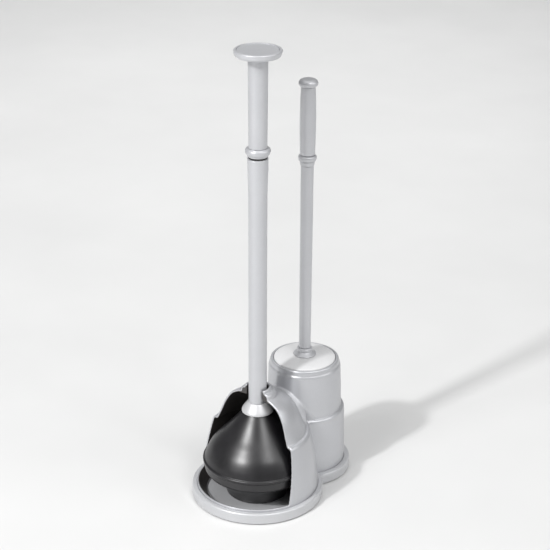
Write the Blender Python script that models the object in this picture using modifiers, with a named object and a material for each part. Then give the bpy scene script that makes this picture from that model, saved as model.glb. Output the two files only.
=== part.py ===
"""Toilet plunger with its bowl brush, standing in one shared caddy.

Metres, +Z up. The origin is on the floor, under the middle of the caddy's footprint.
The plunger stands at -Y in a hood that is open towards -Y, and the brush stands at +Y
in a canister. The set is symmetric about the plane X = 0.
"""

import math

import bmesh
import bpy

# Driving dimensions
TOTAL_HEIGHT = 0.570
HOOD_BASE_R = 0.0811
CANISTER_BASE_R = 0.0588
AXIS_GAP = 0.0889
CADDY_LENGTH = HOOD_BASE_R + AXIS_GAP + CANISTER_BASE_R
PLUNGER_Y = HOOD_BASE_R - CADDY_LENGTH / 2
BRUSH_Y = PLUNGER_Y + AXIS_GAP
GAP = 0.0003

# Caddy
FOOT_H = 0.0012
FOOT_R = 0.007
FLOOR_TOP = 0.003
PAN_TOP = 0.0147
LIP_TOP = 0.0175
TIER_Z = 0.0880
TUBE_BOTTOM = 0.0905
WALL = 0.0022
TUBE_WALL_R = 0.0464
EDGE_ROUND = 0.0022
HOOD_R = 0.0752
NECK_R = 0.0136
CANISTER_R = 0.0518
CANISTER_UPPER_R = 0.0462
CANISTER_TOP = 0.1532
MOUTH_R = 0.0388
LEDGE_R = 0.0364
LEDGE_TOP = 0.1433

# Plunger
CUP_R = 0.0668
CUP_NECK_TOP = 0.1140
COLLAR_TOP = 0.1270
SHAFT_TOP = 0.4415
RING_BOTTOM = 0.4438
RING_TOP = 0.4540
GRIP_TOP = 0.5620
KNOB_R = 0.0277
SOCKET_R = 0.0100

# Brush
STEM_R = 0.0050
LID_R = 0.0384
LID_TOP = 0.1576
BRUSH_SHAFT_BOTTOM = 0.1675
BRUSH_SHAFT_TOP = 0.4080
BRUSH_RING_BOTTOM = 0.4140
BRUSH_RING_TOP = 0.4210
BRUSH_GRIP_TOP = 0.5060
BRUSH_TOP = 0.5150
CORE_R = 0.0090
CORE_BOTTOM = 0.0860
CORE_TOP = 0.1385
BRISTLE_R = 0.0355

FINE_STEPS = 40
CUP_STEPS = 32
STEPS = 24
SMALL_STEPS = 16


def clear_scene():
    for obj in list(bpy.data.objects):
        bpy.data.objects.remove(obj, do_unlink=True)


def new_collection(name):
    made = bpy.data.collections.new(name)
    bpy.context.scene.collection.children.link(made)
    return made


def new_material(name, color, roughness, metallic=0.0):
    made = bpy.data.materials.new(name)
    made.use_nodes = True
    shader = made.node_tree.nodes["Principled BSDF"]
    shader.inputs["Base Color"].default_value = (*color, 1.0)
    shader.inputs["Roughness"].default_value = roughness
    shader.inputs["Metallic"].default_value = metallic
    made.diffuse_color = (*color, 1.0)
    return made


clear_scene()
PARTS = new_collection("plunger_and_brush_set")
CUTTERS = new_collection("cutters")
SILVER = (0.60, 0.60, 0.62)
BLACK = (0.012, 0.011, 0.012)


def link(obj, parent, material, collection):
    collection.objects.link(obj)
    obj.parent = parent
    if material:
        obj.data.materials.append(material)
    if collection is CUTTERS:
        obj.hide_render = True
        obj.display_type = "WIRE"
    return obj


def axis_empty(name, y):
    made = bpy.data.objects.new(name, None)
    made.location = (0.0, y, 0.0)
    PARTS.objects.link(made)
    return made


def turned(name, profile, parent, material=None, steps=STEPS, ring=False, collection=None):
    """A profile of (radius, height) turned about the parent's Z axis.

    The profile runs down the outer side. A ring's profile is a closed loop, and a
    solid's profile starts and ends on the axis.
    """
    mesh = bpy.data.meshes.new(name)
    count = len(profile)
    edges = [(i, i + 1) for i in range(count - 1)]
    if ring:
        edges.append((count - 1, 0))
    mesh.from_pydata([(r, 0.0, z) for r, z in profile], edges, [])
    obj = bpy.data.objects.new(name, mesh)
    link(obj, parent, material, collection or PARTS)
    screw = obj.modifiers.new("Turn", "SCREW")
    screw.steps = steps
    screw.render_steps = steps
    screw.use_merge_vertices = True
    screw.merge_threshold = 0.00001
    screw.use_smooth_shade = True
    return obj


def plain_cylinder(radius, low, high):
    """The profile of a solid cylinder."""
    return [(0.0, high), (radius, high), (radius, low), (0.0, low)]


def tube(outer_low, outer_high, inner, low, high):
    """The loop of a tapered tube with a straight bore."""
    return [(inner, high), (outer_high, high), (outer_low, low), (inner, low)]


def cut(obj, cutter, operation="DIFFERENCE"):
    step = obj.modifiers.new(cutter.name, "BOOLEAN")
    step.operation = operation
    step.solver = "EXACT"
    step.object = cutter


PLUNGER_AXIS = axis_empty("plunger_axis", PLUNGER_Y)
BRUSH_AXIS = axis_empty("brush_axis", BRUSH_Y)


# The shell's outer surfaces, as turned profiles
def hood_outer():
    dome = [(0.0205, 0.1412), (0.0225, 0.1366), (0.0290, 0.1345), (0.0380, 0.1290),
            (0.0436, 0.1220), (0.0495, 0.1115), (0.0538, 0.1000), (0.0575, 0.0920)]
    tier = [(0.0598, TIER_Z), (0.0630, TIER_Z), (0.0648, 0.0865), (0.0657, 0.0835)]
    wall = [(0.0678, 0.0750), (0.0718, 0.0550), (0.0743, 0.0350), (HOOD_R, LIP_TOP)]
    neck = [(0.0, 0.1470), (0.0170, 0.1470), (0.0190, 0.1455)]
    return neck + dome + tier + wall + [(HOOD_R, FLOOR_TOP + GAP), (0.0, FLOOR_TOP + GAP)]


def hood_inner():
    """The hood's hollow: the neck hole, the dome, the tier, and a funnel down to the tray."""
    dome = [(NECK_R, 0.1500), (NECK_R, 0.1335), (0.0275, 0.1320), (0.0357, 0.1270),
            (0.0411, 0.1205), (0.0470, 0.1103), (0.0514, 0.0990), (0.0551, 0.0905)]
    tier = [(0.0575, 0.0857), (0.0633, 0.0838)]
    wall = [(0.0656, 0.0745), (0.0696, 0.0545), (0.0721, 0.0345), (HOOD_R - WALL, LIP_TOP)]
    return [(0.0, 0.1500)] + dome + tier + wall + [(0.0625, 0.0042), (0.0625, 0.0), (0.0, 0.0)]


def canister_outer():
    rim = [(0.0, CANISTER_TOP), (0.0416, CANISTER_TOP), (0.0428, 0.1518), (0.0432, 0.1478),
           (0.0443, 0.1456), (0.0450, 0.1438)]
    upper = [(0.0452, 0.1380), (CANISTER_UPPER_R, 0.1150), (0.0468, TIER_Z)]
    lower = [(0.0490, TIER_Z), (0.0505, 0.0868), (0.0511, 0.0845), (CANISTER_R, 0.0250),
             (CANISTER_R, FLOOR_TOP + GAP), (0.0, FLOOR_TOP + GAP)]
    return rim + upper + lower


def canister_inner():
    """The canister's hollow above the tier: the lid's mouth, its ledge and the tube."""
    tube_r = CANISTER_UPPER_R - 0.0028
    return [(0.0, 0.1600), (MOUTH_R, 0.1600), (MOUTH_R, LEDGE_TOP), (LEDGE_R, LEDGE_TOP),
            (LEDGE_R, LEDGE_TOP - 0.0024), (tube_r, LEDGE_TOP - 0.0024),
            (tube_r, TIER_Z - 0.0060), (0.0, TIER_Z - 0.0060)]


def front_cutter():
    """Everything in front of the hood's edge, which leans forward towards the base."""
    edge_top_y = -0.0060
    edge_lean = 0.0165
    mesh = bpy.data.meshes.new("front_cut")
    made = bmesh.new()
    outline = [(-0.120, LIP_TOP), (-0.120, 0.170), (edge_top_y, 0.170)]
    for i in range(9):
        fall = i / 8
        outline.append((edge_top_y - edge_lean * fall ** 1.3, 0.130 + (LIP_TOP - 0.130) * fall))
    corners = [made.verts.new((-0.10, y, z)) for y, z in outline]
    face = made.faces.new(corners)
    grown = bmesh.ops.extrude_face_region(made, geom=[face])
    far = [v for v in grown["geom"] if isinstance(v, bmesh.types.BMVert)]
    bmesh.ops.translate(made, verts=far, vec=(0.20, 0.0, 0.0))
    bmesh.ops.recalc_face_normals(made, faces=made.faces)
    made.to_mesh(mesh)
    made.free()
    return link(bpy.data.objects.new("front_cut", mesh), PLUNGER_AXIS, None, CUTTERS)


def pan_disc(radius):
    """One of the base's two discs, with a rounded top edge."""
    return [(0.0, PAN_TOP), (radius - EDGE_ROUND, PAN_TOP), (radius - 0.0006, PAN_TOP - 0.0007),
            (radius, PAN_TOP - EDGE_ROUND), (radius, FOOT_H), (0.0, FOOT_H)]


def make_caddy():
    silver = new_material("caddy_silver_paint", SILVER, 0.38, 0.35)
    helper = {"collection": CUTTERS, "steps": FINE_STEPS}

    shell = turned("caddy_shell", hood_outer(), PLUNGER_AXIS, silver, FINE_STEPS)
    cut(shell, turned("canister_form", canister_outer(), BRUSH_AXIS, **helper), "UNION")
    hollow = turned("hood_hollow", hood_inner(), PLUNGER_AXIS, **helper)
    tube_form = plain_cylinder(TUBE_WALL_R, TUBE_BOTTOM, 0.1600)
    cut(hollow, turned("tube_wall", tube_form, BRUSH_AXIS, **helper))
    cut(shell, hollow)
    cut(shell, turned("tube_hollow", canister_inner(), BRUSH_AXIS, **helper))
    lower = plain_cylinder(CANISTER_R - 0.0029, -0.0010, TIER_Z - 0.0035)
    lower_hollow = turned("lower_hollow", lower, BRUSH_AXIS, **helper)
    curb = plain_cylinder(HOOD_R - 0.0002, -0.0020, LIP_TOP)
    cut(lower_hollow, turned("curb_form", curb, PLUNGER_AXIS, **helper))
    cut(shell, lower_hollow)
    cut(shell, front_cutter())

    pan_material = new_material("base_silver_paint", SILVER, 0.38, 0.35)
    pan = turned("base_pan", pan_disc(HOOD_BASE_R), PLUNGER_AXIS, pan_material, FINE_STEPS)
    cut(pan, turned("pan_rear", pan_disc(CANISTER_BASE_R), BRUSH_AXIS, **helper), "UNION")
    front_well = plain_cylinder(HOOD_R + 0.0005, FLOOR_TOP, 0.0300)
    rear_well = plain_cylinder(CANISTER_R + 0.0005, FLOOR_TOP, 0.0300)
    cut(pan, turned("front_well", front_well, PLUNGER_AXIS, **helper))
    cut(pan, turned("rear_well", rear_well, BRUSH_AXIS, **helper))

    rubber = new_material("foot_rubber", (0.03, 0.03, 0.03), 0.8)
    places = [(0.0, PLUNGER_Y - 0.066), (0.062, PLUNGER_Y + 0.010), (-0.062, PLUNGER_Y + 0.010),
              (0.030, BRUSH_Y + 0.030), (-0.030, BRUSH_Y + 0.030)]
    for number, (x, y) in enumerate(places, 1):
        pad = turned(f"foot_pad_{number}", plain_cylinder(FOOT_R, 0.0, FOOT_H - GAP), None,
                     rubber, SMALL_STEPS)
        pad.location = (x, y, 0.0)


def cup_outer():
    """The rubber bell's outer side from its neck down to the rim of its inner flange."""
    bell = [(0.0178, CUP_NECK_TOP), (0.0242, 0.1060), (0.0382, 0.0900),
            (0.0478, 0.0800), (0.0568, 0.0700), (0.0624, 0.0600), (0.0652, 0.0520)]
    band = [(CUP_R, 0.0492), (CUP_R, 0.0470), (0.0660, 0.0450), (0.0652, 0.0360)]
    flange = [(0.0560, 0.0335), (0.0500, 0.0260), (0.0440, 0.0180), (0.0400, 0.0090),
              (0.0385, 0.0040), (0.0375, FLOOR_TOP + GAP)]
    return bell + band + flange


def cup_inner():
    """The bell's hollow, from the flange's mouth up to the closed neck."""
    return [(0.0345, FLOOR_TOP + GAP), (0.0366, 0.0110), (0.0410, 0.0205), (0.0470, 0.0290),
            (0.0530, 0.0365), (0.0612, 0.0395), (0.0620, 0.0480), (0.0585, 0.0590),
            (0.0430, 0.0790), (0.0250, 0.0960), (0.0170, 0.0990), (SOCKET_R + GAP, 0.0990)]


def make_plunger():
    silver = new_material("plunger_silver_paint", SILVER, 0.34, 0.35)
    bright = new_material("collar_silver", (0.78, 0.78, 0.80), 0.22, 0.6)
    rubber = new_material("cup_rubber", BLACK, 0.42)
    black = new_material("plunger_joiner_black", BLACK, 0.5)

    cup = cup_outer() + cup_inner() + [(SOCKET_R + GAP, CUP_NECK_TOP)]
    turned("plunger_cup", cup, PLUNGER_AXIS, rubber, CUP_STEPS, ring=True)

    socket = [(0.0, 0.1260), (0.0080, 0.1260), (0.0080, 0.1175), (SOCKET_R, 0.1175),
              (SOCKET_R, 0.0960), (0.0140, 0.0955), (0.0140, 0.0925), (0.0, 0.0925)]
    turned("cup_socket", [(r, z - GAP) for r, z in socket], PLUNGER_AXIS, black, SMALL_STEPS)

    low = CUP_NECK_TOP + GAP
    collar = [(0.0083, COLLAR_TOP), (0.0117, COLLAR_TOP), (0.0128, 0.1256), (0.0184, 0.1181),
              (0.0195, 0.1162), (0.0195, low), (SOCKET_R + GAP, low), (SOCKET_R + GAP, 0.1178),
              (0.0083, 0.1178)]
    turned("plunger_collar", collar, PLUNGER_AXIS, bright, STEPS, ring=True)

    low = COLLAR_TOP + GAP
    shaft = [(0.0085, SHAFT_TOP), (0.0122, SHAFT_TOP), (0.0119, 0.4240), (0.0114, 0.4030),
             (0.0111, 0.3700), (0.0111, low), (0.0085, low)]
    turned("plunger_shaft", shaft, PLUNGER_AXIS, silver, ring=True)

    seam_low = SHAFT_TOP + GAP
    seam_high = RING_BOTTOM - GAP
    joiner = [(0.0, 0.4700), (0.0070, 0.4700), (0.0070, seam_high), (0.0112, seam_high),
              (0.0112, seam_low), (0.0082, seam_low), (0.0082, 0.4150), (0.0, 0.4150)]
    turned("plunger_joiner", joiner, PLUNGER_AXIS, black, SMALL_STEPS)

    ring = [(0.0073, RING_TOP), (0.0132, RING_TOP), (0.0148, 0.4529), (0.0152, 0.4502),
            (0.0148, 0.4475), (0.0134, 0.4462), (0.0118, 0.4458), (0.0118, RING_BOTTOM),
            (0.0073, RING_BOTTOM)]
    turned("plunger_grip_ring", ring, PLUNGER_AXIS, silver, ring=True)

    grip = tube(0.0109, 0.0116, 0.0073, RING_TOP + GAP, GRIP_TOP - GAP)
    turned("plunger_grip", grip, PLUNGER_AXIS, silver, ring=True)

    cap_r = 0.0243
    cap_seat = TOTAL_HEIGHT - 0.0018
    knob = [(0.0, cap_seat), (cap_r, cap_seat), (cap_r, TOTAL_HEIGHT), (0.0266, TOTAL_HEIGHT),
            (0.0276, 0.5691), (KNOB_R, 0.5672), (0.0276, 0.5650), (0.0258, 0.5634),
            (0.0225, 0.5624), (0.0150, GRIP_TOP), (0.0069, GRIP_TOP), (0.0069, 0.5380), (0.0, 0.5380)]
    turned("plunger_knob", knob, PLUNGER_AXIS, silver)
    cap = plain_cylinder(cap_r - GAP, cap_seat + GAP, TOTAL_HEIGHT - 0.0003)
    turned("plunger_knob_cap", cap, PLUNGER_AXIS, silver)


def make_brush():
    silver = new_material("brush_silver_paint", SILVER, 0.36, 0.35)
    black = new_material("brush_joiner_black", BLACK, 0.5)
    white = new_material("brush_white", (0.75, 0.75, 0.73), 0.6)
    bore = STEM_R + GAP

    low = LEDGE_TOP + GAP
    lid = [(bore, LID_TOP), (0.0150, LID_TOP), (0.0240, 0.1569), (0.0320, 0.1556),
           (0.0372, 0.1542), (LID_R, 0.1530), (LID_R, low), (0.0359, low), (0.0359, 0.1520),
           (0.0240, 0.1540), (0.0090, 0.1545), (0.0090, low), (bore, low)]
    turned("brush_lid", lid, BRUSH_AXIS, silver, CUP_STEPS, ring=True)

    foot_low = LID_TOP + GAP
    foot = [(bore, BRUSH_SHAFT_BOTTOM - GAP), (0.0086, BRUSH_SHAFT_BOTTOM - GAP),
            (0.0094, 0.1663), (0.0096, 0.1628), (0.0106, 0.1612), (0.0126, 0.1598),
            (0.0140, 0.1590), (0.0142, foot_low), (bore, foot_low)]
    turned("brush_foot_flange", foot, BRUSH_AXIS, silver, ring=True)

    shaft = tube(0.0073, 0.0078, bore, BRUSH_SHAFT_BOTTOM, BRUSH_SHAFT_TOP)
    turned("brush_shaft", shaft, BRUSH_AXIS, silver, ring=True)

    seam_low = BRUSH_SHAFT_TOP + GAP
    seam_high = BRUSH_RING_BOTTOM - GAP
    joiner = [(0.0, 0.4350), (STEM_R, 0.4350), (STEM_R, seam_high), (0.0092, seam_high),
              (0.0082, seam_low), (STEM_R, seam_low), (STEM_R, 0.3850), (0.0, 0.3850)]
    turned("brush_joiner", joiner, BRUSH_AXIS, silver, SMALL_STEPS)

    ring = [(bore, BRUSH_RING_TOP), (0.0100, BRUSH_RING_TOP), (0.0112, 0.4195),
            (0.0112, 0.4155), (0.0100, BRUSH_RING_BOTTOM), (bore, BRUSH_RING_BOTTOM)]
    turned("brush_grip_ring", ring, BRUSH_AXIS, silver, ring=True)

    grip_low = BRUSH_RING_TOP + GAP
    grip_high = BRUSH_GRIP_TOP - GAP
    grip = [(bore, grip_high), (0.0086, grip_high), (0.0094, 0.4850), (0.0097, 0.4650),
            (0.0095, 0.4400), (0.0090, grip_low), (bore, grip_low)]
    turned("brush_grip", grip, BRUSH_AXIS, silver, ring=True)

    cap = [(0.0, BRUSH_TOP), (0.0085, 0.5144), (0.0110, 0.5122), (0.0117, 0.5095),
           (0.0112, 0.5070), (0.0098, BRUSH_GRIP_TOP), (STEM_R, BRUSH_GRIP_TOP),
           (STEM_R, 0.4860), (0.0, 0.4860)]
    turned("brush_end_cap", cap, BRUSH_AXIS, silver)

    stem = plain_cylinder(STEM_R, CORE_TOP + GAP, 0.2050)
    turned("brush_stem", stem, BRUSH_AXIS, black, SMALL_STEPS)

    core = [(0.0, CORE_TOP), (CORE_R, CORE_TOP), (CORE_R, 0.0910), (0.0075, 0.0880),
            (0.0045, CORE_BOTTOM + 0.0004), (0.0, CORE_BOTTOM)]
    turned("brush_core", core, BRUSH_AXIS, white, SMALL_STEPS)

    inner = CORE_R + GAP
    socket = [(0.0, CORE_BOTTOM - GAP), (0.0048, CORE_BOTTOM + 0.0001), (0.0079, 0.0877),
              (inner, 0.0909)]
    outside = [(inner, 0.1355), (0.0300, 0.1370), (BRISTLE_R, 0.1310), (BRISTLE_R, 0.0980),
               (0.0320, 0.0860), (0.0230, 0.0785), (0.0, 0.0760)]
    turned("brush_bristles", socket + outside, BRUSH_AXIS, white)


make_caddy()
make_plunger()
make_brush()
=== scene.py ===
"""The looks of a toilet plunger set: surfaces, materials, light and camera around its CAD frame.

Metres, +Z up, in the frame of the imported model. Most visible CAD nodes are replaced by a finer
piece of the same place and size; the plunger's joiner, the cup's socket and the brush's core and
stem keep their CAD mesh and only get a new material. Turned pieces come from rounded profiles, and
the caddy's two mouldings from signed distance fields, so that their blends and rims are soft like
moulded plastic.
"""

import math

import bpy
import numpy as np
from mathutils import Matrix, Vector


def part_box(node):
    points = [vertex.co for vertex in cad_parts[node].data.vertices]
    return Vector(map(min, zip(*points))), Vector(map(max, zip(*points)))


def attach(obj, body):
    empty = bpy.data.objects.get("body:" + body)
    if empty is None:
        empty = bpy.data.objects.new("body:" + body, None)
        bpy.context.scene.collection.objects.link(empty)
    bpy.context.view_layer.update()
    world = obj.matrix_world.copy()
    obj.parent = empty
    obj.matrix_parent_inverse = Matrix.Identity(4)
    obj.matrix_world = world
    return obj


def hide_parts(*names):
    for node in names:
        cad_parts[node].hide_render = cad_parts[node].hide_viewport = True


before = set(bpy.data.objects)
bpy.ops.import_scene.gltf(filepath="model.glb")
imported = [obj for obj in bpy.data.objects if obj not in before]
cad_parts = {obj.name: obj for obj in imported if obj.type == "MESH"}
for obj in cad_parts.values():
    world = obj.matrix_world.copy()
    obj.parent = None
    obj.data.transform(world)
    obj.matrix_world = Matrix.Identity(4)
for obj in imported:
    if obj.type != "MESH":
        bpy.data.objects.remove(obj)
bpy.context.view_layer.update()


# Places and sizes, read from the frame

def middle_y(node):
    low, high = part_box(node)
    return (low.y + high.y) / 2


def heights(node):
    low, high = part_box(node)
    return low.z, high.z


def radius(node):
    low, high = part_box(node)
    return (high.x - low.x) / 2


PLUNGER_Y = middle_y("plunger_shaft")
BRUSH_Y = middle_y("brush_shaft")
TURNS = 96


# Turned pieces

def arc(before, corner, after, size, steps=5):
    """The points of a fillet of about this size at a corner."""
    a, b, c = (np.array(p[:2], float) for p in (before, corner, after))
    u, v = a - b, c - b
    reach = min(size, 0.45 * np.linalg.norm(u), 0.45 * np.linalg.norm(v))
    start, end = b + u / np.linalg.norm(u) * reach, b + v / np.linalg.norm(v) * reach
    t = np.linspace(0, 1, steps + 1)[:, None]
    return (1 - t) ** 2 * start + 2 * t * (1 - t) * b + t ** 2 * end


def rounded(profile, closed=False, size=0.0006):
    """The profile with a fillet at each corner. A point's third number is its own fillet."""
    points = []
    count = len(profile)
    for i, corner in enumerate(profile):
        own = corner[2] if len(corner) > 2 else size
        at_end = not closed and i in (0, count - 1)
        if at_end or own == 0:
            points.append(np.array([corner[:2]], float))
        else:
            points.append(arc(profile[i - 1], corner, profile[(i + 1) % count], own))
    return np.concatenate(points)


def smooth_curve(points, steps=8):
    """A Catmull-Rom curve through the points."""
    p = np.array([points[0], *points, points[-1]], float)
    t = np.linspace(0, 1, steps, endpoint=False)[:, None]
    spans = []
    for a, b, c, d in zip(p, p[1:], p[2:], p[3:]):
        spans.append(0.5 * (2 * b + (c - a) * t + (2 * a - 5 * b + 4 * c - d) * t ** 2
                            + (3 * b - a - 3 * c + d) * t ** 3))
    return [tuple(q) + (0,) for q in np.concatenate([*spans, p[-1:]])]


def profile_normals(points, closed):
    """Outward normals along a profile that runs down its outer side, longer edges counting more."""
    following = np.roll(points, -1, axis=0) - points
    if not closed:
        following[-1] = 0
    edge = np.stack([-following[:, 1], following[:, 0]], axis=1)
    normal = edge + np.roll(edge, 1, axis=0)
    return normal / np.maximum(np.linalg.norm(normal, axis=1, keepdims=True), 1e-12)


def new_object(name, points, faces, material, normals=None):
    """A smooth mesh object in the scene. It may have its own normal at each point."""
    mesh = bpy.data.meshes.new(name)
    mesh.from_pydata([tuple(p) for p in points], [], [tuple(f) for f in faces])
    mesh.shade_smooth()
    if normals is not None:
        mesh.normals_split_custom_set_from_vertices([tuple(n) for n in normals])
    mesh.materials.append(material)
    obj = bpy.data.objects.new(name, mesh)
    bpy.context.scene.collection.objects.link(obj)
    return obj


def place(obj, body, slot, *nodes):
    """obj rides on the body and stands for the nodes. The slot is not used."""
    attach(obj, body)
    if nodes:
        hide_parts(*nodes)
    return obj


def turned(name, profile, centre, material, closed=False, turns=TURNS, size=0.0006):
    """A closed mesh of the rounded profile, turned about the vertical axis at centre (x, y)."""
    outline = rounded(profile, closed, size)
    slopes = profile_normals(outline, closed)
    angle = np.arange(turns) * (2 * math.pi / turns)
    cos, sin = np.cos(angle), np.sin(angle)
    points, normals, rings = [], [], []
    for (r, z), (nr, nz) in zip(outline, slopes):
        single = r < 1e-6
        rings.append((len(points), single))
        for k in range(1 if single else turns):
            points.append((centre[0] + r * cos[k], centre[1] + r * sin[k], z))
            around = (nr * cos[k], nr * sin[k], nz)
            normals.append((0, 0, math.copysign(1, nz)) if single else around)
    faces = []
    pairs = list(zip(rings, rings[1:])) + ([(rings[-1], rings[0])] if closed else [])
    for (a, a_single), (b, b_single) in pairs:
        for k in range(turns):
            after = (k + 1) % turns
            if a_single:
                faces.append((a, b + k, b + after))
            elif b_single:
                faces.append((a + k, b, a + after))
            else:
                faces.append((a + k, b + k, b + after, a + after))
    return new_object(name, points, faces, material, normals)


# Signed distance fields

# The grid that a turned solid's distances are worked out on, which covers the whole caddy
TABLE_CELL = 0.00025
TABLE_R = (-0.002, 0.090)
TABLE_Z = (-0.004, 0.164)
PAST_AXIS = -0.05
SURFACE_STEPS = 4


def outline_table(outline):
    """Signed distance, on a grid of (r, z), to a closed outline. It is negative inside."""
    start = np.array(outline, float)
    end = np.roll(start, -1, axis=0)
    r, z = np.meshgrid(np.arange(*TABLE_R, TABLE_CELL), np.arange(*TABLE_Z, TABLE_CELL),
                       indexing="ij")
    nearest = np.full(r.shape, 1.0)
    inside = np.zeros(r.shape, bool)
    for (r0, z0), (r1, z1) in zip(start, end):
        dr, dz = r1 - r0, z1 - z0
        t = np.clip(((r - r0) * dr + (z - z0) * dz) / max(dr * dr + dz * dz, 1e-18), 0, 1)
        nearest = np.minimum(nearest, np.hypot(r - r0 - t * dr, z - z0 - t * dz))
        if z0 != z1:
            crossed = (z0 > z) != (z1 > z)
            inside ^= crossed & (r < r0 + (z - z0) * dr / dz)
    return np.where(inside, -nearest, nearest)


def turned_field(profile, axis_y, size=0.0012):
    """The distance to a solid turned about the vertical axis at axis_y.

    Its profile runs down the outer side, and starts and ends at r = 0.
    """
    outline = rounded(profile, size=size)
    low, high = outline[-1][1], outline[0][1]
    table = outline_table([(PAST_AXIS, high), *map(tuple, outline), (PAST_AXIS, low)])

    def field(x, y, z):
        i = (np.hypot(x, y - axis_y) - TABLE_R[0]) / TABLE_CELL
        j = (z - TABLE_Z[0]) / TABLE_CELL
        i = np.clip(i, 0, table.shape[0] - 1.001)
        j = np.clip(j, 0, table.shape[1] - 1.001)
        i0, j0 = i.astype(int), j.astype(int)
        u, v = i - i0, j - j0
        near = table[i0, j0] * (1 - v) + table[i0, j0 + 1] * v
        far = table[i0 + 1, j0] * (1 - v) + table[i0 + 1, j0 + 1] * v
        return near * (1 - u) + far * u

    return field


def smooth_min(a, b, size):
    """The union of two fields with a fillet in the valley between them."""
    h = np.maximum(size - np.abs(a - b), 0) / size
    return np.minimum(a, b) - h * h * size / 4


def smooth_max(a, b, size):
    """The part that two fields share, with its edge rounded."""
    return -smooth_min(-a, -b, size)


def gradient(field, points, step=0.0002):
    """The field's slope at each point."""
    parts = []
    for axis in range(3):
        move = np.zeros(3)
        move[axis] = step
        parts.append((field(*(points + move).T) - field(*(points - move).T)) / (2 * step))
    return np.stack(parts, axis=1)


def surface(field, low, high, cell):
    """Points, faces and normals of the surface where the field is 0, by surface nets.

    Each grid cell that the surface passes through has one point, and each grid edge that it
    crosses has one face between the four cells around it. The points are then moved onto the
    surface.
    """
    counts = [int(math.ceil((b - a) / cell)) + 1 for a, b in zip(low, high)]
    axes = [a + cell * np.arange(n) for a, n in zip(low, counts)]
    x, y, z = np.meshgrid(*axes, indexing="ij")
    value = field(x, y, z)
    inside = value < 0
    cells = [n - 1 for n in counts]
    total = np.zeros((*cells, 3))
    hits = np.zeros(cells)
    crossed_edges = []
    for axis in range(3):
        lower = [slice(None)] * 3
        upper = [slice(None)] * 3
        lower[axis], upper[axis] = slice(0, -1), slice(1, None)
        a, b = value[tuple(lower)], value[tuple(upper)]
        crossed = inside[tuple(lower)] != inside[tuple(upper)]
        at = np.argwhere(crossed)
        share = a[crossed] / (a[crossed] - b[crossed])
        crossing = at.astype(float)
        crossing[:, axis] += share
        crossed_edges.append((axis, at, inside[tuple(lower)][crossed]))
        u, v = [k for k in range(3) if k != axis]
        for du in (0, 1):
            for dv in (0, 1):
                cell_at = at.copy()
                cell_at[:, u] -= du
                cell_at[:, v] -= dv
                np.add.at(total, tuple(cell_at.T), crossing)
                np.add.at(hits, tuple(cell_at.T), 1)
    used = hits > 0
    number = np.full(cells, -1)
    number[used] = np.arange(used.sum())
    points = np.array(low) + cell * total[used] / hits[used][:, None]
    faces = []
    for axis, at, starts_inside in crossed_edges:
        u, v = (axis + 1) % 3, (axis + 2) % 3
        corners = []
        for du, dv in ((1, 1), (0, 1), (0, 0), (1, 0)):
            cell_at = at.copy()
            cell_at[:, u] -= du
            cell_at[:, v] -= dv
            corners.append(number[tuple(cell_at.T)])
        quads = np.stack(corners, axis=1)
        quads[~starts_inside] = quads[~starts_inside][:, ::-1]
        faces.append(quads)
    for _ in range(SURFACE_STEPS):
        slope = gradient(field, points)
        length = np.maximum((slope ** 2).sum(axis=1), 0.05)
        points = points - slope * np.clip(field(*points.T) / length, -cell, cell)[:, None]
    normals = gradient(field, points)
    normals /= np.maximum(np.linalg.norm(normals, axis=1, keepdims=True), 1e-9)
    return points, np.concatenate(faces), normals


# Materials

def link(tree, source, output, target, name):
    tree.links.new(source.outputs[output], target.inputs[name])


def new_node(tree, kind, **settings):
    made = tree.nodes.new(kind)
    for name, value in settings.items():
        if name in made.inputs:
            made.inputs[name].default_value = value
        else:
            setattr(made, name, value)
    return made


def noise(tree, coordinates, scale, detail=3.0, roughness=0.55, stretch=(1, 1, 1)):
    """Noise of this scale, whose values lie mostly between 0.3 and 0.7."""
    place_node = new_node(tree, "ShaderNodeMapping", Scale=stretch)
    tree.links.new(coordinates, place_node.inputs["Vector"])
    made = new_node(tree, "ShaderNodeTexNoise", Scale=scale, Detail=detail, Roughness=roughness)
    link(tree, place_node, "Vector", made, "Vector")
    return made.outputs["Fac"]


def remap(tree, value, low, high, from_low=0.3, from_high=0.7):
    """value, taken from one range to another."""
    made = new_node(tree, "ShaderNodeMapRange", **{"From Min": from_low, "From Max": from_high,
                                                   "To Min": low, "To Max": high})
    tree.links.new(value, made.inputs["Value"])
    return made.outputs["Result"]


def blend_colors(tree, share, low, high):
    """A mix of two colors, where each is a tuple or another node's output."""
    made = new_node(tree, "ShaderNodeMix", data_type="RGBA")
    tree.links.new(share, made.inputs["Factor"])
    sockets = [s for s in made.inputs if s.type == "RGBA"]
    for socket, color in zip(sockets, (low, high)):
        if hasattr(color, "links"):
            tree.links.new(color, socket)
        else:
            socket.default_value = (*color, 1)
    return [s for s in made.outputs if s.type == "RGBA"][0]


def bump(tree, height, distance, strength=1.0, below=None):
    made = new_node(tree, "ShaderNodeBump", Strength=strength, Distance=distance)
    tree.links.new(height, made.inputs["Height"])
    if below is not None:
        tree.links.new(below, made.inputs["Normal"])
    return made.outputs["Normal"]


def start_material(name):
    """A new material's node tree, its main shader and the object coordinates."""
    made = bpy.data.materials.new(name)
    made.use_nodes = True
    tree = made.node_tree
    shader = tree.nodes["Principled BSDF"]
    return made, tree, shader, tree.nodes.new("ShaderNodeTexCoord").outputs["Object"]


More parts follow.
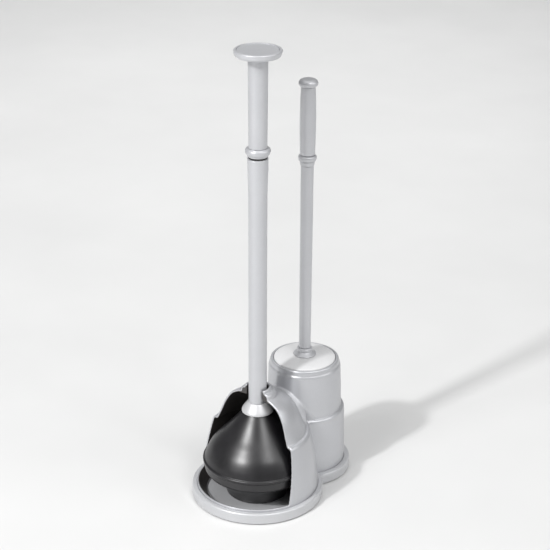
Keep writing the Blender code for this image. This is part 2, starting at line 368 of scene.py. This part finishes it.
def paint(name, color, metallic=0.55, roughness=0.40, coat=0.3, bare=False):
    """Silver paint on plastic: fine flakes, a faint orange peel and uneven gloss."""
    made, tree, shader, where = start_material(name)
    flakes = noise(tree, where, 2600, 2)
    clouds = noise(tree, where, 28, 3)
    peel = noise(tree, where, 420, 2)
    darker = tuple(c * 0.93 for c in color)
    lighter = tuple(min(c * 1.06, 1) for c in color)
    tint = blend_colors(tree, remap(tree, flakes, 0, 1), darker, lighter)
    cloudy = blend_colors(tree, remap(tree, clouds, 0, 0.25), tint, tuple(c * 0.9 for c in color))
    tree.links.new(cloudy, shader.inputs["Base Color"])
    uneven = remap(tree, clouds, roughness - 0.03, roughness + 0.04)
    tree.links.new(uneven, shader.inputs["Roughness"])
    tree.links.new(bump(tree, peel, 0.00003, 0.5), shader.inputs["Normal"])
    shader.inputs["Metallic"].default_value = metallic
    shader.inputs["Coat Weight"].default_value = coat
    shader.inputs["Coat Roughness"].default_value = 0.22
    if bare:
        add_bare_inside(tree, shader, where)
    return made


def add_bare_inside(tree, painted, where):
    """Mixes in unpainted black plastic where the mesh's depth attribute says so."""
    depth = new_node(tree, "ShaderNodeAttribute", attribute_name="depth")
    soft = 0.0001
    share = remap(tree, depth.outputs["Fac"], 0, 1, BARE_DEPTH - soft, BARE_DEPTH + soft)
    black = new_node(tree, "ShaderNodeBsdfPrincipled")
    grain = noise(tree, where, 900, 3)
    darker, lighter = (0.045, 0.041, 0.039), (0.060, 0.055, 0.053)
    color = blend_colors(tree, remap(tree, grain, 0, 1), darker, lighter)
    tree.links.new(color, black.inputs["Base Color"])
    tree.links.new(remap(tree, grain, 0.45, 0.60), black.inputs["Roughness"])
    tree.links.new(bump(tree, grain, 0.00004, 0.6), black.inputs["Normal"])
    mix = tree.nodes.new("ShaderNodeMixShader")
    tree.links.new(share, mix.inputs["Fac"])
    link(tree, painted, "BSDF", mix, 1)
    link(tree, black, "BSDF", mix, 2)
    link(tree, mix, "Shader", tree.nodes["Material Output"], "Surface")


def moulded(name, color, roughness, grain_scale=900, spread=0.06, specular=0.5):
    """Plain moulded plastic or rubber with a fine grain."""
    made, tree, shader, where = start_material(name)
    grain = noise(tree, where, grain_scale, 3)
    clouds = noise(tree, where, 40, 4)
    lighter = tuple(min(c * 1.25, 1) for c in color)
    tint = blend_colors(tree, remap(tree, clouds, 0, 1), color, lighter)
    tree.links.new(tint, shader.inputs["Base Color"])
    uneven = remap(tree, clouds, roughness - spread, roughness + spread)
    tree.links.new(uneven, shader.inputs["Roughness"])
    tree.links.new(bump(tree, grain, 0.00003, 0.6), shader.inputs["Normal"])
    shader.inputs["Specular IOR Level"].default_value = specular
    return made


def cup_rubber(name):
    """Black moulded rubber: a soft sheen, faint streaks from the mould and a little dust."""
    made, tree, shader, where = start_material(name)
    streaks = noise(tree, where, 60, 4, 0.6, (1, 1, 0.25))
    grain = noise(tree, where, 1100, 2)
    dust = noise(tree, where, 240, 5, 0.7)
    darker, lighter = (0.004, 0.0036, 0.0045), (0.008, 0.0072, 0.009)
    dust_grey = (0.03, 0.029, 0.031)
    tint = blend_colors(tree, remap(tree, streaks, 0, 1), darker, lighter)
    dusty = blend_colors(tree, remap(tree, dust, 0, 0.5, 0.62, 0.80), tint, dust_grey)
    tree.links.new(dusty, shader.inputs["Base Color"])
    tree.links.new(remap(tree, streaks, 0.33, 0.39), shader.inputs["Roughness"])
    tree.links.new(bump(tree, grain, 0.00002, 0.5), shader.inputs["Normal"])
    shader.inputs["Specular IOR Level"].default_value = 0.7
    return made


# How far under the outside the shell's paint ends and its bare plastic starts
BARE_DEPTH = 0.0019
SHELL_PAINT = paint("shell_silver_paint", (0.525, 0.53, 0.55), bare=True)
BASE_PAINT = paint("base_silver_paint", (0.56, 0.565, 0.58), metallic=0.3)
HANDLE_PAINT = paint("handle_silver_paint", (0.555, 0.56, 0.58), metallic=0.45, roughness=0.38)
# The lid is the same silver as the shell, painted lighter and without metal: painted light,
# standing in for the brighter light and reflection on its top face
LID_PAINT_WITH_PAINTED_LIGHT = paint("lid_silver_with_painted_light", (0.62, 0.62, 0.625), metallic=0.0, roughness=0.55, coat=0.0)
COLLAR_SILVER = paint("collar_bright_silver", (0.60, 0.60, 0.61), metallic=0.4, roughness=0.42)
CUP_RUBBER = cup_rubber("cup_black_rubber")
BLACK_PLASTIC = moulded("joiner_black_plastic", (0.014, 0.013, 0.013), 0.5)
WHITE_PLASTIC = moulded("core_white_plastic", (0.72, 0.72, 0.70), 0.5)
FILAMENT = moulded("white_filament", (0.74, 0.74, 0.72), 0.42, 2000)
PAD_RUBBER = moulded("pad_grey_rubber", (0.035, 0.034, 0.033), 0.75, 500)


# The caddy

GAP = 0.0003
SHELL_LOW, SHELL_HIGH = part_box("caddy_shell")
PAN_LOW, PAN_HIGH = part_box("base_pan")
SHELL_BOTTOM = SHELL_LOW.z
HOOD_R = radius("caddy_shell")
CANISTER_R = SHELL_HIGH.y - BRUSH_Y
WALL = 0.0022
TIER_Z = 0.0880

# The hood's open front, from the tray's lip to the top of the opening
LIP_TOP = 0.0175
OPENING_TOP = 0.130

# The canister's mouth, with the ledge that the lid hangs on
MOUTH_TOP = 0.1590
MOUTH_R = 0.0388
LEDGE_TOP = 0.1433

# The web between the hood and the canister is a flat chamfer that widens downwards from its top.
# It stays inside two circles, one round each form, so that it doesn't hang over the tier.
WEB_TOP = 0.1280
WEB_WIDTH = (0.0040, 0.0135)
WEB_WIDENING = 0.27
WEB_BOTTOM = TIER_Z - 0.0030
WEB_HOOD_R = 0.0618
WEB_CANISTER_R = 0.0482
SIN_45 = 0.7071

# The grids for the surface nets, with room around the form
SHELL_CELL, SHELL_MARGIN = 0.00125, Vector((0.0024, 0.0024, 0.0024))
PAN_CELL, PAN_MARGIN = 0.0013, Vector((0.0025, 0.0025, 0.0025))


def hood_outer():
    """The hood's outside: the neck's two steps, the dome, the tier and the wall."""
    neck = [(0.0, 0.1470), (0.0166, 0.1470, 0.0008), (0.0176, 0.1436, 0.0005),
            (0.0206, 0.1426, 0.0010), (0.0224, 0.1408, 0.0010), (0.0230, 0.1366, 0.0004)]
    dome = [(0.0290, 0.1345, 0.004), (0.0380, 0.1290, 0.006), (0.0436, 0.1220, 0.006),
            (0.0495, 0.1115, 0.006), (0.0538, 0.1000, 0.006), (0.0575, 0.0920, 0.003)]
    tier = [(0.0594, TIER_Z + 0.0002, 0.0010), (0.0628, TIER_Z, 0.0022), (0.0652, 0.0855, 0.002)]
    wall = [(0.0678, 0.0750, 0.006), (0.0718, 0.0550, 0.008), (0.0743, 0.0350, 0.008),
            (HOOD_R, LIP_TOP), (HOOD_R, SHELL_BOTTOM), (0.0, SHELL_BOTTOM)]
    return neck + dome + tier + wall


def hood_inner():
    """The hood's hollow: the neck hole, the dome, the tier and a funnel down to the tray."""
    hole_r, hole_top, tray_r = 0.0136, 0.1500, 0.0625
    neck = [(0.0, hole_top), (hole_r, hole_top), (hole_r, 0.1335)]
    dome = [(0.0275, 0.1320), (0.0357, 0.1270, 0.004), (0.0411, 0.1205, 0.005),
            (0.0470, 0.1103, 0.005), (0.0514, 0.0990, 0.005), (0.0551, 0.0905, 0.003)]
    tier = [(0.0575, 0.0857), (0.0633, 0.0838)]
    wall = [(0.0656, 0.0745, 0.006), (0.0696, 0.0545, 0.008), (0.0721, 0.0345, 0.006),
            (HOOD_R - WALL, LIP_TOP), (tray_r, 0.0042), (tray_r, 0.0), (0.0, 0.0)]
    return neck + dome + tier + wall


def canister_outer():
    """The canister's outside: the stepped rim, the drum, the tier and the wall."""
    rim = [(0.0, SHELL_HIGH.z), (0.0420, SHELL_HIGH.z, 0.0014), (0.0430, 0.1508, 0.0012),
           (0.0432, 0.1474, 0.0010), (0.0446, 0.1454, 0.0010), (0.0452, 0.1425, 0.0012)]
    upper = [(0.0453, 0.1380), (0.0462, 0.1150), (0.0467, TIER_Z, 0.0012)]
    lower = [(0.0492, TIER_Z, 0.0022), (0.0508, 0.0855, 0.002), (CANISTER_R, 0.0250),
             (CANISTER_R, SHELL_BOTTOM), (0.0, SHELL_BOTTOM)]
    return rim + upper + lower


def canister_inner():
    """The canister's hollow above the tier: the lid's mouth, its ledge and the tube."""
    ledge_r, ledge_low = 0.0364, LEDGE_TOP - 0.0024
    tube_r, tube_low = 0.0434, TIER_Z - 0.0060
    return [(0.0, MOUTH_TOP), (MOUTH_R, MOUTH_TOP), (MOUTH_R, LEDGE_TOP), (ledge_r, LEDGE_TOP),
            (ledge_r, ledge_low), (tube_r, ledge_low), (tube_r, tube_low), (0.0, tube_low)]


def upper_part(profile):
    """The outline above the tier, whose last slope is carried on a little below it."""
    kept = [p[:2] for p in profile if p[1] > TIER_Z + 0.0010]
    (r0, z0), (r1, z1) = kept[-2:]
    low = TIER_Z - 0.0040
    return kept + [(r1 + (r1 - r0) * (z1 - low) / (z0 - z1), low), (0.0, low)]


def cylinder(size, low, high):
    """The profile of a plain cylinder of this radius."""
    return [(0.0, high), (size, high), (size, low), (0.0, low)]


def hood_edge(z):
    """Where the hood's cut edge is, from the plunger's axis. It leans forward on its way down."""
    at_top, lean, curve = -0.0060, 0.0165, 1.3
    fall = np.maximum(OPENING_TOP - z, 0) / (OPENING_TOP - LIP_TOP)
    return at_top - lean * fall ** curve


def shell_fields():
    """The caddy's moulding, and the depth under its outside. Both are functions of place."""
    hood, canister = turned_field(hood_outer(), PLUNGER_Y), turned_field(canister_outer(), BRUSH_Y)
    dome = turned_field(upper_part(hood_outer()), PLUNGER_Y)
    drum = turned_field(upper_part(canister_outer()), BRUSH_Y)
    hollow = turned_field(hood_inner(), PLUNGER_Y, 0.0008)
    tube_wall = turned_field(cylinder(0.0464, 0.0905, 0.1600), BRUSH_Y, 0.0005)
    mouth = turned_field(canister_inner(), BRUSH_Y, 0.0004)
    lower = turned_field(cylinder(0.0489, -0.0010, 0.0845), BRUSH_Y, 0.0008)
    curb = turned_field(cylinder(HOOD_R - 0.0002, -0.0030, LIP_TOP), PLUNGER_Y, 0.0005)

    def outside(x, y, z):
        width = np.clip(WEB_WIDTH[0] + WEB_WIDENING * (WEB_TOP - z), *WEB_WIDTH)
        web = np.maximum((dome(x, y, z) + drum(x, y, z) - width) * SIN_45, WEB_BOTTOM - z)
        footprint = np.minimum(np.hypot(x, y - PLUNGER_Y) - WEB_HOOD_R,
                               np.hypot(x, y - BRUSH_Y) - WEB_CANISTER_R)
        web = smooth_max(web, footprint, 0.0010)
        both = smooth_min(hood(x, y, z), canister(x, y, z), 0.0020)
        return smooth_min(both, web, 0.0012)

    def shell(x, y, z):
        """The outside, less its three hollows and the open front."""
        bay = np.maximum(hollow(x, y, z), -tube_wall(x, y, z))
        rear = np.maximum(lower(x, y, z), -curb(x, y, z))
        cavity = np.minimum(np.minimum(bay, rear), mouth(x, y, z))
        front = np.maximum(y - PLUNGER_Y - hood_edge(z), LIP_TOP - z)
        walls = smooth_max(outside(x, y, z), -cavity, 0.0006)
        return smooth_max(walls, -front, 0.0010)

    def depth(x, y, z):
        """Depth under the outside, or 0 where the lid's mouth is painted too."""
        from_mouth = np.hypot(x, y - BRUSH_Y) - 0.0440
        painted = (from_mouth < 0) & (z > LEDGE_TOP - 0.0008)
        return np.where(painted, 0, -outside(x, y, z))

    return shell, depth


def make_shell():
    shell, depth = shell_fields()
    points, faces, normals = surface(shell, SHELL_LOW - SHELL_MARGIN, SHELL_HIGH + SHELL_MARGIN,
                                     SHELL_CELL)
    made = new_object("caddy_shell_moulding", points, faces, SHELL_PAINT, normals)
    layer = made.data.attributes.new("depth", "FLOAT", "POINT")
    layer.data.foreach_set("value", depth(*points.T).astype(np.float32))
    place(made, "caddy", "silver_paint", "caddy_shell")


def make_base():
    """The base: two discs blended into one, with the wells that the shell stands in."""
    bottom, top = PAN_LOW.z, PAN_HIGH.z
    floor_top, well_top, well_room = 0.003, 0.0300, 0.0001
    front_r, rear_r = radius("base_pan"), PAN_HIGH.y - BRUSH_Y

    def disc(size):
        return [(0.0, top), (size, top, 0.0030), (size, bottom, 0.0006), (0.0, bottom)]

    front, rear = turned_field(disc(front_r), PLUNGER_Y), turned_field(disc(rear_r), BRUSH_Y)
    front_well = turned_field(cylinder(HOOD_R + well_room, floor_top, well_top), PLUNGER_Y, 0.0004)
    rear_well = turned_field(cylinder(CANISTER_R + well_room, floor_top, well_top), BRUSH_Y, 0.0004)

    def pan(x, y, z):
        body = smooth_min(front(x, y, z), rear(x, y, z), 0.0060)
        body = np.maximum(body, np.maximum(bottom - z, z - top))
        well = np.minimum(front_well(x, y, z), rear_well(x, y, z))
        return smooth_max(body, -well, 0.0005)

    points, faces, normals = surface(pan, PAN_LOW - PAN_MARGIN, PAN_HIGH + PAN_MARGIN, PAN_CELL)
    made = new_object("base_tray", points, faces, BASE_PAINT, normals)
    place(made, "caddy", "silver_paint", "base_pan")


def make_feet():
    for number in range(1, 6):
        node = f"foot_pad_{number}"
        low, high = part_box(node)
        size = radius(node)
        profile = [(0.0, high.z), (size - 0.0004, high.z), (size, high.z - 0.0004),
                   (size, low.z), (0.0, low.z)]
        middle = ((low.x + high.x) / 2, (low.y + high.y) / 2)
        pad = turned(f"{node}_soft", profile, middle, PAD_RUBBER, turns=32, size=0.0002)
        place(pad, "caddy", "foot_rubber", node)


# The plunger

PLUNGER = (0.0, PLUNGER_Y)
BRUSH = (0.0, BRUSH_Y)


def make_cup():
    """The rubber cup, down its outside and back up through its hollow to the bore."""
    low, high = heights("plunger_cup")
    bead_rise = 0.0008
    bead = radius("plunger_cup") + bead_rise
    bore, hollow_top = 0.0103, 0.0990
    bell = smooth_curve([(0.0178, high - 0.0004), (0.0205, 0.1105), (0.0262, 0.1040),
                         (0.0382, 0.0900), (0.0478, 0.0800), (0.0564, 0.0700), (0.0622, 0.0600),
                         (0.0653, 0.0520)])
    rim = [(0.0656, 0.0513, 0.0004), (bead, 0.0502, 0.0010), (bead, 0.0478, 0.0010),
           (0.0660, 0.0465, 0.0006), (0.0654, 0.0370, 0.0015), (0.0640, 0.0345, 0.0012)]
    flange = smooth_curve([(0.0560, 0.0335), (0.0500, 0.0262), (0.0440, 0.0182), (0.0400, 0.0095),
                           (0.0384, 0.0042)])
    inside = [(0.0375, low, 0.0006), (0.0345, low, 0.0008), (0.0366, 0.0110, 0.004),
              (0.0410, 0.0205, 0.006), (0.0470, 0.0290, 0.006), (0.0530, 0.0365, 0.003),
              (0.0612, 0.0395, 0.002), (0.0615, 0.0480, 0.004), (0.0583, 0.0590, 0.008),
              (0.0430, 0.0790, 0.008), (0.0250, 0.0960, 0.006), (0.0170, hollow_top, 0.001),
              (bore, hollow_top)]
    profile = [(bore, high), (0.0168, high, 0.0008)] + bell + rim + flange + inside
    cup = turned("rubber_cup", profile, PLUNGER, CUP_RUBBER, closed=True, turns=128)
    place(cup, "plunger", "black_rubber", "plunger_cup")


def make_collar():
    low, high = heights("plunger_collar")
    brim = radius("plunger_collar")
    bore, socket_r, socket_top = 0.0083, 0.0103, 0.1178
    profile = [(bore, high), (0.0117, high, 0.0003), (0.0126, high - 0.0008, 0.0012),
               (0.0156, 0.1221, 0.004), (0.0184, 0.1181, 0.002), (brim, 0.1161, 0.0006),
               (brim, low), (socket_r, low), (socket_r, socket_top), (bore, socket_top)]
    collar = turned("shaft_collar", profile, PLUNGER, COLLAR_SILVER, closed=True, size=0.0003)
    place(collar, "plunger", "bright_silver", "plunger_collar")


def tube(node, name, centre, body, low_r, high_r, bore, material):
    """A plain tube in the node's place, which may taper between its two ends."""
    low, high = heights(node)
    profile = [(bore, high), (high_r, high), (low_r, low), (bore, low)]
    made = turned(name, profile, centre, material, closed=True, size=0.0004)
    return place(made, body, "silver_paint", node)


def make_plunger_handle():
    """The shaft, the ring bead, the grip, the knob and the disc let into its top."""
    shaft_bore, grip_bore, plug_r, recess = 0.0085, 0.0073, 0.0069, 0.0018

    low, top = heights("plunger_shaft")
    taper = smooth_curve([(0.0122, top), (0.0120, 0.4260), (0.0114, 0.4030), (0.0111, 0.3700),
                          (0.0111, low)])
    made = turned("shaft_tube", [(shaft_bore, top)] + taper + [(shaft_bore, low)], PLUNGER,
                  HANDLE_PAINT, closed=True, size=0.0004)
    place(made, "plunger", "silver_paint", "plunger_shaft")

    low, top = heights("plunger_grip_ring")
    edge = radius("plunger_grip_ring")
    ring = [(grip_bore, top), (0.0120, top, 0.0006), (0.0124, top - 0.0006, 0.0006),
            (0.0140, top - 0.0008, 0.0010), (edge, top - 0.0038, 0.0034),
            (0.0140, top - 0.0072, 0.0012), (0.0124, top - 0.0076, 0.0006), (0.0119, low, 0.0006),
            (grip_bore, low)]
    made = turned("grip_ring", ring, PLUNGER, HANDLE_PAINT, closed=True)
    place(made, "plunger", "silver_paint", "plunger_grip_ring")

    tube("plunger_grip", "grip_tube", PLUNGER, "plunger", 0.0109, 0.0116, grip_bore, HANDLE_PAINT)

    low, top = heights("plunger_knob")
    neck = heights("plunger_grip")[1] + GAP
    edge = radius("plunger_knob")
    knob = [(0.0, top - recess), (0.0243, top - recess, 0.0003), (0.0245, top - 0.0002, 0.0002),
            (0.0250, top, 0.0003), (0.0268, top - 0.0001, 0.0005), (0.0277, top - 0.0008, 0.0008),
            (edge, top - 0.0022, 0.0016), (edge - 0.0005, top - 0.0054, 0.0018),
            (0.0256, top - 0.0076, 0.0020), (0.0222, top - 0.0082, 0.0015), (0.0150, neck, 0.002),
            (plug_r, neck), (plug_r, low), (0.0, low)]
    made = turned("knob", knob, PLUNGER, HANDLE_PAINT, turns=128)
    place(made, "plunger", "silver_paint", "plunger_knob")

    low, high = heights("plunger_knob_cap")
    edge = radius("plunger_knob_cap")
    cap = [(0.0, high - 0.0004), (0.0200, high - 0.0004, 0.004), (edge - 0.0008, high, 0.0010),
           (edge, high - 0.0003, 0.0003), (edge, low), (0.0, low)]
    made = turned("knob_cap", cap, PLUNGER, HANDLE_PAINT, turns=128, size=0.0002)
    place(made, "plunger", "silver_paint", "plunger_knob_cap")

    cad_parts["plunger_joiner"].data.materials[0] = BLACK_PLASTIC
    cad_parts["cup_socket"].data.materials[0] = BLACK_PLASTIC


# The brush and its lid

STEM_R = 0.0050
BORE = STEM_R + GAP


def make_lid():
    """The lid, hollow underneath, with a boss around the brush's stem."""
    low, top = heights("brush_lid")
    edge = radius("brush_lid")
    skirt_r, boss_r = 0.0359, 0.0090
    profile = [(BORE, top), (0.0150, top, 0.002), (0.0240, top - 0.0006, 0.006),
               (0.0320, top - 0.0019, 0.006), (0.0374, top - 0.0034, 0.002),
               (edge, top - 0.0044, 0.0008), (edge, low, 0.0004), (skirt_r, low),
               (skirt_r, 0.1520), (0.0240, 0.1540), (boss_r, 0.1545), (boss_r, low), (BORE, low)]
    # The lid's lighter silver is painted light on its top face
    lid = turned("canister_lid", profile, BRUSH, LID_PAINT_WITH_PAINTED_LIGHT, closed=True, turns=128)
    place(lid, "lid", "silver_paint", "brush_lid")


def make_brush_handle():
    """The flared foot, the shaft, the reducer, the ring bead, the grip and its end cap."""
    low, top = heights("brush_foot_flange")
    edge = radius("brush_foot_flange")
    foot = [(BORE, top), (0.0086, top, 0.0005), (0.0096, 0.1664, 0.0008), (0.0099, 0.1636, 0.0005),
            (0.0092, 0.1631, 0.0004), (0.0094, 0.1622, 0.0008), (0.0106, 0.1610, 0.003),
            (0.0124, 0.1599, 0.003), (0.0139, 0.1590, 0.0008), (edge, 0.1585, 0.0005),
            (edge, low, 0.0006), (BORE, low)]
    made = turned("brush_foot", foot, BRUSH, HANDLE_PAINT, closed=True, size=0.0004)
    place(made, "brush", "silver_paint", "brush_foot_flange")

    tube("brush_shaft", "brush_tube", BRUSH, "brush", 0.0073, 0.0078, BORE, HANDLE_PAINT)

    low, top = heights("brush_joiner")
    seam_low, seam_high = 0.4083, 0.4137
    joiner = [(0.0, top), (STEM_R, top), (STEM_R, seam_high), (0.0092, seam_high, 0.0006),
              (0.0084, seam_low, 0.0006), (STEM_R, seam_low), (STEM_R, low), (0.0, low)]
    made = turned("brush_collar", joiner, BRUSH, HANDLE_PAINT, size=0.0003)
    place(made, "brush", "silver_paint", "brush_joiner")

    low, top = heights("brush_grip_ring")
    edge = radius("brush_grip_ring")
    ring = [(BORE, top), (0.0098, top, 0.0006), (edge - 0.0003, top - 0.0012, 0.0012),
            (edge, top - 0.0034, 0.0016), (edge - 0.0004, low + 0.0012, 0.0012),
            (0.0096, low, 0.0005), (BORE, low)]
    made = turned("brush_ring", ring, BRUSH, HANDLE_PAINT, closed=True)
    place(made, "brush", "silver_paint", "brush_grip_ring")

    low, top = heights("brush_grip")
    swell = smooth_curve([(0.0086, top), (0.0090, top - 0.008), (0.0094, top - 0.021),
                          (0.0097, top - 0.041), (0.0095, low + 0.019), (0.0090, low)])
    made = turned("brush_grip_tube", [(BORE, top)] + swell + [(BORE, low)], BRUSH, HANDLE_PAINT,
                  closed=True, size=0.0003)
    place(made, "brush", "silver_paint", "brush_grip")

    low, top = heights("brush_end_cap")
    neck = heights("brush_grip")[1] + GAP
    edge = radius("brush_end_cap")
    cap = [(0.0, top), (0.0080, top - 0.0005, 0.003), (0.0106, top - 0.0022, 0.0016),
           (edge, top - 0.0048, 0.0016), (edge - 0.0004, top - 0.0072, 0.0010),
           (0.0098, neck, 0.0006), (STEM_R, neck), (STEM_R, low), (0.0, low)]
    made = turned("brush_cap", cap, BRUSH, HANDLE_PAINT, size=0.0003)
    place(made, "brush", "silver_paint", "brush_end_cap")


# The brush head

TUFT_ROWS = 9
TUFTS_A_ROW = 13
HAIRS_A_TUFT = 19
END_HAIRS = 420
HAIR_R = 0.00022
END_ROOT_R, END_TIP_R = 0.006, 0.022


def hair(points, faces, start, end, thickness):
    """Adds one thin three-sided filament with a pointed tip."""
    along = (end - start) / np.linalg.norm(end - start)
    side = np.cross(along, (0.0, 0.0, 1.0) if abs(along[2]) < 0.9 else (1.0, 0.0, 0.0))
    side /= np.linalg.norm(side)
    other = np.cross(along, side)
    first = len(points)
    for share, width in ((0.0, 1.0), (0.55, 0.95), (0.97, 0.75)):
        for k in range(3):
            turn = k * 2 * math.pi / 3
            ring = (side * math.cos(turn) + other * math.sin(turn)) * thickness * width
            points.append(start + (end - start) * share + ring)
    points.append(end)
    for level in (0, 3):
        for k in range(3):
            a, b = first + level + k, first + level + (k + 1) % 3
            faces.append((a, b, b + 3, a + 3))
    for k in range(3):
        faces.append((first + 6 + k, first + 6 + (k + 1) % 3, first + 9))
    faces.append((first + 2, first + 1, first))


def head_reach(z, low, high, edge):
    """The brush head's radius at a height: a barrel with a rounded lower end."""
    end_height, shoulder, draw_in = 0.020, 0.008, 0.004
    below = np.clip((low + end_height - z) / end_height, 0, 1)
    above = np.clip((z - high + shoulder) / shoulder, 0, 1)
    return edge * math.sqrt(max(1 - 0.55 * below ** 2, 0)) - draw_in * above


def make_bristles():
    """Rows of tufts round the core, and a cluster of hairs at its lower end."""
    rng = np.random.default_rng(7)
    low, high = heights("brush_bristles")
    edge = radius("brush_bristles") - 0.0004
    core_low, core_high = heights("brush_core")
    root_r = radius("brush_core") - 0.0005
    axis = np.array((0.0, BRUSH_Y, 0.0))
    points, faces = [], []
    for row in range(TUFT_ROWS):
        share = (row + 0.5) / TUFT_ROWS
        root_z = core_low + 0.008 + (core_high - core_low - 0.012) * share
        tip_z = low + 0.012 + (high - low - 0.016) * share
        for tuft in range(TUFTS_A_ROW):
            angle = (tuft + 0.5 * (row % 2)) * 2 * math.pi / TUFTS_A_ROW
            for _ in range(HAIRS_A_TUFT):
                around = rng.normal(0, 0.5)
                spread = angle + 0.16 * around
                root_turn = angle + 0.07 * around
                z = tip_z + rng.normal(0, 0.0011)
                reach = head_reach(z, low, high, edge) * rng.uniform(0.965, 1.0)
                start = axis + (root_r * math.cos(root_turn), root_r * math.sin(root_turn),
                                root_z + rng.normal(0, 0.0004))
                end = axis + (reach * math.cos(spread), reach * math.sin(spread),
                              min(z, high - 0.0004))
                hair(points, faces, start, end, HAIR_R)
    for _ in range(END_HAIRS):
        angle, out = rng.uniform(0, 2 * math.pi), math.sqrt(rng.uniform(0, 1))
        root, tip = END_ROOT_R * out, END_TIP_R * out
        start = axis + (root * math.cos(angle), root * math.sin(angle), core_low + 0.003)
        end = axis + (tip * math.cos(angle), tip * math.sin(angle),
                      low + 0.0006 + 0.0035 * out ** 2)
        hair(points, faces, start, end, HAIR_R)
    made = new_object("bristle_tufts", points, faces, FILAMENT)
    place(made, "brush", "white_bristle", "brush_bristles")
    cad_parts["brush_core"].data.materials[0] = WHITE_PLASTIC
    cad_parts["brush_stem"].data.materials[0] = BLACK_PLASTIC


# Floor, light and camera

FLOOR_SIZE = 16.0


def make_floor():
    made, tree, shader, where = start_material("pale_floor")
    cloud = noise(tree, where, 3, 3)
    tint = blend_colors(tree, remap(tree, cloud, 0, 1), (0.66, 0.66, 0.657), (0.70, 0.70, 0.696))
    tree.links.new(tint, shader.inputs["Base Color"])
    shader.inputs["Roughness"].default_value = 0.55
    half = FLOOR_SIZE / 2
    corners = [(-half, -half, 0), (half, -half, 0), (half, half, 0), (-half, half, 0)]
    new_object("floor", corners, [(0, 1, 2, 3)], made)


def area_light(name, azimuth, elevation, distance, size, power, target, spread=180):
    """A square lamp that looks at target from this direction, in degrees, metres and watts.

    Azimuth 0 is on the -Y side, and 90 on the +X side.
    """
    a, e = math.radians(azimuth), math.radians(elevation)
    away = Vector((math.sin(a) * math.cos(e), -math.cos(a) * math.cos(e), math.sin(e)))
    data = bpy.data.lights.new(name, "AREA")
    data.shape = "SQUARE"
    data.size = size
    data.energy = power
    data.spread = math.radians(spread)
    lamp = bpy.data.objects.new(name, data)
    lamp.location = target + away * distance
    lamp.rotation_euler = away.to_track_quat("Z", "Y").to_euler()
    bpy.context.scene.collection.objects.link(lamp)


def make_light():
    """A key light in front of the hood, softer lamps around, and one over the floor behind."""
    middle = Vector((0.0, 0.0, 0.16))
    behind = Vector((-1.30, 1.45, 0.0))
    area_light("key_light", -5, 41, 4.0, 0.24, 94, middle)
    area_light("soft_key_light", -5, 41, 4.0, 1.5, 50, middle)
    area_light("fill_light", 76, 50, 4.4, 1.4, 59, middle)
    area_light("side_light", 115, 30, 4.4, 2.0, 36, middle)
    area_light("top_light", 200, 88, 5.0, 5.0, 70, middle)
    area_light("floor_light", 41, 89, 1.8, 1.6, 7, behind, 110)
    world = bpy.data.worlds.new("studio")
    world.use_nodes = True
    sky = world.node_tree.nodes["Background"]
    sky.inputs["Color"].default_value = (0.98, 0.99, 1.0, 1)
    sky.inputs["Strength"].default_value = 0.26
    bpy.context.scene.world = world
    bpy.context.scene.view_settings.view_transform = "Standard"


# Metres and degrees, and millimetres for the lens
CAMERA_DISTANCE = 1.8031
CAMERA_HEIGHT = 1.1044
CAMERA_AZIMUTH = 41.31
CAMERA_TURN = -0.645
CAMERA_PITCH = -24.18
CAMERA_ROLL = 0.33
CAMERA_LENS = 109.75


def make_camera():
    """The camera stands to the right of the hood's open front, a little over a metre up."""
    data = bpy.data.cameras.new("camera")
    data.lens = CAMERA_LENS
    data.sensor_width = 36
    camera = bpy.data.objects.new("camera", data)
    a = math.radians(CAMERA_AZIMUTH)
    turn = math.radians(CAMERA_AZIMUTH + CAMERA_TURN)
    stand = Vector((CAMERA_DISTANCE * math.sin(a), PLUNGER_Y - CAMERA_DISTANCE * math.cos(a),
                    CAMERA_HEIGHT))
    aim = (Matrix.Rotation(turn, 4, "Z") @ Matrix.Rotation(math.radians(90 + CAMERA_PITCH), 4, "X")
           @ Matrix.Rotation(math.radians(CAMERA_ROLL), 4, "Z"))
    camera.matrix_world = Matrix.Translation(stand) @ aim
    bpy.context.scene.collection.objects.link(camera)
    bpy.context.scene.camera = camera


make_shell()
make_base()
make_feet()
make_cup()
make_collar()
make_plunger_handle()
make_lid()
make_brush_handle()
make_bristles()
make_floor()
make_light()
make_camera()
